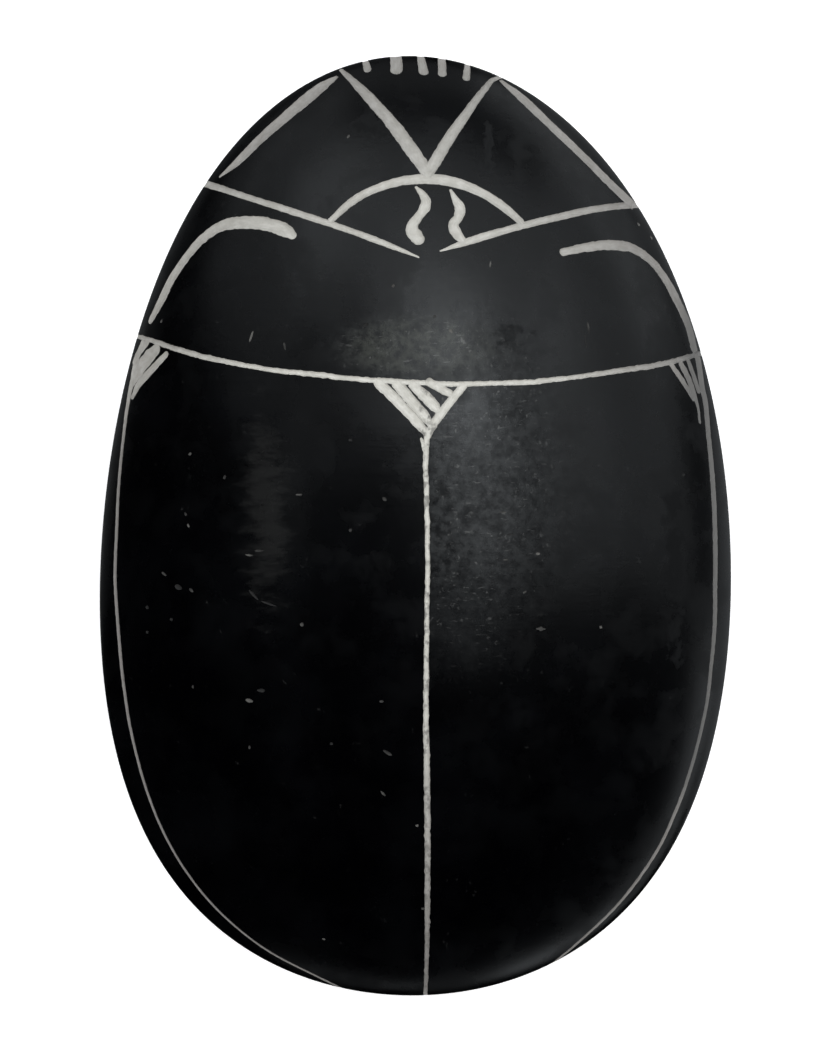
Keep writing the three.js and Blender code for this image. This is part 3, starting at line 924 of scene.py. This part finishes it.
# Floor, lights and camera. A light's tilt is from straight up, its turn is from +x towards +y.
stage = {
    "floorSize": 5.0,
    "floorTone": (0.88, 0.88, 0.88),
    "floorRoughness": 0.9,
    "floorGlow": 0.55,
    "lights": {
        # name: tilt, turn, distance, width, height, radiance, and whether the polish mirrors it
        "skyPanel": (0, 0, 1.1, 2.4, 2.4, 1.5, False),
        "northWindow": (48, 84, 1.0, 1.7, 0.50, 0.65, True),
        "northCard": (90, 96, 1.0, 2.2, 0.50, 0.22, True),
        "northWestCard": (66, 132, 1.0, 0.8, 0.70, 0.28, True),
        "crownGlow": (27, 76, 1.0, 0.56, 0.38, 1.4, True),
        "crownCore": (26, 66, 1.0, 0.22, 0.16, 1.5, True),
        "seamGlow": (21, 23, 1.0, 0.36, 0.34, 0.88, True),
        "eastWindow": (50, 18, 1.0, 0.60, 0.50, 0.65, True),
        "farEastWindow": (78, 24, 1.0, 1.0, 0.45, 0.42, True),
        "northEastCard": (94, 44, 1.0, 1.0, 0.40, 0.5, True),
        "westFill": (30, 128, 1.0, 0.36, 0.30, 0.24, True),
        "leftStrip": (38, 163, 1.0, 0.36, 0.10, 0.55, True),
        "southEastCard": (105, -40, 1.0, 1.3, 0.28, 0.62, True),
        "underEastCard": (132, 24, 1.0, 1.5, 0.80, 0.3, True),
        "underNorthCard": (138, 128, 1.0, 1.3, 1.00, 0.10, True),
        "underWestCard": (140, 167, 1.0, 0.40, 0.90, 0.08, True),
        "southCard": (104, -88, 1.0, 1.0, 0.14, 0.35, True),
    },
    "mirroredColour": (0.905, 0.96, 1.0),
    "worldStrength": 0.0,
    "cameraHeight": 0.5153,
    "cameraPlace": (-0.000101, -0.0001245),
    "lens": 250,
    "sensor": 36,
    "clipStart": 0.01,
}


def makeFloor():
    deselectAll()
    bpy.ops.mesh.primitive_plane_add(size=stage["floorSize"], location=(0, 0, 0))
    floor = bpy.context.active_object
    floor.name = "floor"
    n = Nodes("paleFloor")
    n.shader.inputs["Base Color"].default_value = (*stage["floorTone"], 1)
    n.shader.inputs["Roughness"].default_value = stage["floorRoughness"]
    n.shader.inputs["Specular IOR Level"].default_value = 0.0
    n.shader.inputs["Emission Color"].default_value = (1, 1, 1, 1)
    n.shader.inputs["Emission Strength"].default_value = stage["floorGlow"]
    floor.data.materials.append(n.material)
    floor.visible_glossy = False  # the low cards stand for what the rim mirrors of it


def makeLights():
    for name, (tilt, turn, distance, width, height, radiance, mirrored) in stage["lights"].items():
        light = bpy.data.lights.new(name, "AREA")
        light.shape = "RECTANGLE"
        light.size = width
        light.size_y = height
        light.energy = math.pi * width * height * radiance
        light.color = stage["mirroredColour"] if mirrored else (1, 1, 1)
        lamp = bpy.data.objects.new(name, light)
        bpy.context.scene.collection.objects.link(lamp)
        lean, around = math.radians(tilt), math.radians(turn)
        out = Vector((math.sin(lean) * math.cos(around), math.sin(lean) * math.sin(around), math.cos(lean)))
        lamp.location = out * distance
        lamp.rotation_euler = out.to_track_quat("Z", "Y").to_euler()
        lamp.visible_glossy = mirrored
        lamp.visible_camera = False


def makeCamera():
    data = bpy.data.cameras.new("camera")
    data.lens = stage["lens"]
    data.sensor_width = stage["sensor"]
    data.clip_start = stage["clipStart"]
    camera = bpy.data.objects.new("camera", data)
    bpy.context.scene.collection.objects.link(camera)
    camera.location = (*stage["cameraPlace"], stage["cameraHeight"])
    bpy.context.scene.camera = camera


def makeWorld():
    world = bpy.data.worlds.new("world")
    world.use_nodes = True
    world.node_tree.nodes["Background"].inputs["Strength"].default_value = stage["worldStrength"]
    bpy.context.scene.world = world
    bpy.context.scene.view_settings.view_transform = "Standard"


makeFloor()
makeLights()
makeCamera()
makeWorld()
print("stage and camera are set")
